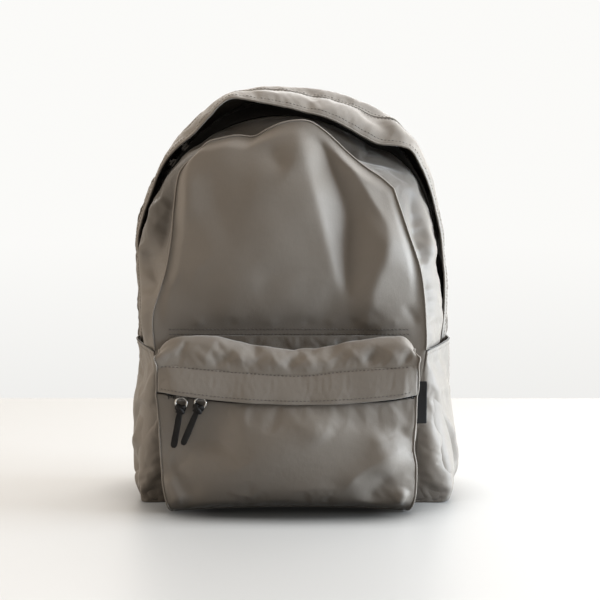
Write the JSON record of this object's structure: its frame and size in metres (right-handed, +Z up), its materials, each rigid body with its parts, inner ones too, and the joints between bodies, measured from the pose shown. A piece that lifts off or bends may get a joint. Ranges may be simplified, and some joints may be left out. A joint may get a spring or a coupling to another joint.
{
  "type": "daypack",
  "caption": "Arch-topped fabric daypack with a hooded main zip, a zipped front pocket, open side pockets, padded shoulder straps and a webbing grab handle.",
  "frame": {"origin": "middle of the base panel's underside, on the surface the bag stands on", "axes": "+Z up, +Y towards the wearer's back, -Y towards the front pocket, +X to the right as seen from the front"},
  "size_m": [0.3338, 0.253, 0.4105],
  "materials": {
    "shell_fabric": "fine woven nylon, matte with a soft sheen",
    "hood_fabric": "fine woven nylon, matte with a soft sheen",
    "pocket_fabric": "fine woven nylon, matte with a soft sheen",
    "base_fabric": "dark coated weave",
    "lining": "smooth lining",
    "binding": "ribbed grosgrain",
    "zip_tape": "woven zip tape with a nylon coil",
    "slider_metal": "dark enamel",
    "ring_metal": "bright nickel",
    "pull_leather": "soft black cord leather",
    "label": "blank woven label",
    "webbing": "ribbed nylon webbing",
    "strap_cover": "fine woven nylon",
    "mesh": "spacer mesh",
    "foam": "closed-cell foam",
    "buckle": "moulded acetal",
    "board": "stiff plastic sheet"
  },
  "bodies": {
    "bag": {"front_panel": "shell_fabric", "front_gusset": "shell_fabric", "rear_gusset": "shell_fabric", "left_side_panel": "shell_fabric", "right_side_panel": "shell_fabric", "back_panel": "mesh", "back_foam": "foam", "laptop_sleeve": "lining", "laptop_sleeve_binding": "binding", "base_panel": "base_fabric", "base_board": "board", "main_zip_front_tape": "zip_tape", "main_zip_rear_tape": "zip_tape", "main_zip_hood": "hood_fabric", "pocket_face": "pocket_fabric", "pocket_top_panel": "pocket_fabric", "left_pocket_gusset": "pocket_fabric", "right_pocket_gusset": "pocket_fabric", "pocket_floor": "base_fabric", "pocket_zip_upper_tape": "zip_tape", "pocket_zip_lower_tape": "zip_tape", "woven_label": "label", "left_side_pocket": "shell_fabric", "right_side_pocket": "shell_fabric", "left_pocket_binding": "binding", "right_pocket_binding": "binding", "strap_yoke": "shell_fabric", "left_strap_tab": "shell_fabric", "right_strap_tab": "shell_fabric"},
    "pocket_slider_left": {"pocket_slider_left": "slider_metal"},
    "pocket_ring_left": {"pocket_ring_left": "ring_metal"},
    "pocket_pull_left": {"pocket_pull_left": "pull_leather"},
    "pocket_slider_right": {"pocket_slider_right": "slider_metal"},
    "pocket_ring_right": {"pocket_ring_right": "ring_metal"},
    "pocket_pull_right": {"pocket_pull_right": "pull_leather"},
    "main_slider_left": {"main_slider_left": "slider_metal"},
    "main_ring_left": {"main_ring_left": "ring_metal"},
    "main_pull_left": {"main_pull_left": "pull_leather"},
    "main_slider_right": {"main_slider_right": "slider_metal"},
    "main_ring_right": {"main_ring_right": "ring_metal"},
    "main_pull_right": {"main_pull_right": "pull_leather"},
    "pocket_zip_flap": {"pocket_zip_flap": "pocket_fabric"},
    "grab_handle": {"grab_handle": "webbing"},
    "left_strap": {"left_strap_mesh": "mesh", "left_strap_foam": "foam", "left_strap_cover": "strap_cover", "left_ladder_lock": "buckle", "left_lock_loop": "webbing", "left_strap_webbing": "webbing"},
    "right_strap": {"right_strap_mesh": "mesh", "right_strap_foam": "foam", "right_strap_cover": "strap_cover", "right_ladder_lock": "buckle", "right_lock_loop": "webbing", "right_strap_webbing": "webbing"}
  },
  "joints": [
    {"name": "pocket_slider_left_slide", "type": "slide", "parent": "bag", "child": "pocket_slider_left", "axis": [1, 0, 0], "range_m": [-0.006, 0]},
    {"name": "pocket_ring_left_tilt", "type": "hinge", "parent": "pocket_slider_left", "child": "pocket_ring_left", "pos_m": [-0.104, -0.1333, 0.112], "axis": [-1, 0, 0], "range_deg": [0, 30]},
    {"name": "pocket_pull_left_sway", "type": "hinge", "parent": "pocket_ring_left", "child": "pocket_pull_left", "pos_m": [-0.104, -0.1333, 0.1067], "axis": [0, 1, 0], "range_deg": [0, 50]},
    {"name": "pocket_slider_right_slide", "type": "slide", "parent": "bag", "child": "pocket_slider_right", "axis": [1, 0, 0], "range_m": [0, 0.196]},
    {"name": "pocket_ring_right_tilt", "type": "hinge", "parent": "pocket_slider_right", "child": "pocket_ring_right", "pos_m": [-0.086, -0.1333, 0.112], "axis": [-1, 0, 0], "range_deg": [0, 30]},
    {"name": "pocket_pull_right_sway", "type": "hinge", "parent": "pocket_ring_right", "child": "pocket_pull_right", "pos_m": [-0.086, -0.1333, 0.1067], "axis": [0, -1, 0], "range_deg": [0, 60]},
    {"name": "pocket_zip_flap_lift", "type": "hinge", "parent": "bag", "child": "pocket_zip_flap", "pos_m": [0, -0.13125, 0.13425], "axis": [-1, 0, 0], "range_deg": [0, 80]},
    {"name": "main_slider_left_run", "type": "hinge", "parent": "bag", "child": "main_slider_left", "pos_m": [0, 0.014, 0.252], "axis": [0, -1, 0], "range_deg": [0, 34]},
    {"name": "main_ring_left_tilt", "type": "hinge", "parent": "main_slider_left", "child": "main_ring_left", "pos_m": [-0.12543, 0.014, 0.33661], "axis": [0.5592, 0, 0.829], "range_deg": [0, 8]},
    {"name": "main_pull_left_sway", "type": "hinge", "parent": "main_ring_left", "child": "main_pull_left", "pos_m": [-0.12543, 0.0193, 0.33661], "axis": [-0.829, 0, 0.5592], "range_deg": [0, 8]},
    {"name": "main_slider_right_run", "type": "hinge", "parent": "bag", "child": "main_slider_right", "pos_m": [0, 0.014, 0.252], "axis": [0, 1, 0], "range_deg": [0, 138]},
    {"name": "main_ring_right_tilt", "type": "hinge", "parent": "main_slider_right", "child": "main_ring_right", "pos_m": [-0.11244, 0.014, 0.35324], "axis": [-0.6691, 0, -0.7431], "range_deg": [0, 8]},
    {"name": "main_pull_right_sway", "type": "hinge", "parent": "main_ring_right", "child": "main_pull_right", "pos_m": [-0.11244, 0.0087, 0.35324], "axis": [-0.7431, 0, 0.6691], "range_deg": [0, 70]},
    {"name": "grab_handle_swing", "type": "hinge", "parent": "bag", "child": "grab_handle", "pos_m": [0, 0.08, 0.381], "axis": [1, 0, 0], "range_deg": [-15, 110]},
    {"name": "left_strap_swing", "type": "hinge", "parent": "bag", "child": "left_strap", "pos_m": [0, 0.076, 0.374], "axis": [1, 0, 0], "range_deg": [0, 15]},
    {"name": "right_strap_swing", "type": "hinge", "parent": "bag", "child": "right_strap", "pos_m": [0, 0.076, 0.374], "axis": [1, 0, 0], "range_deg": [0, 15]}
  ]
}
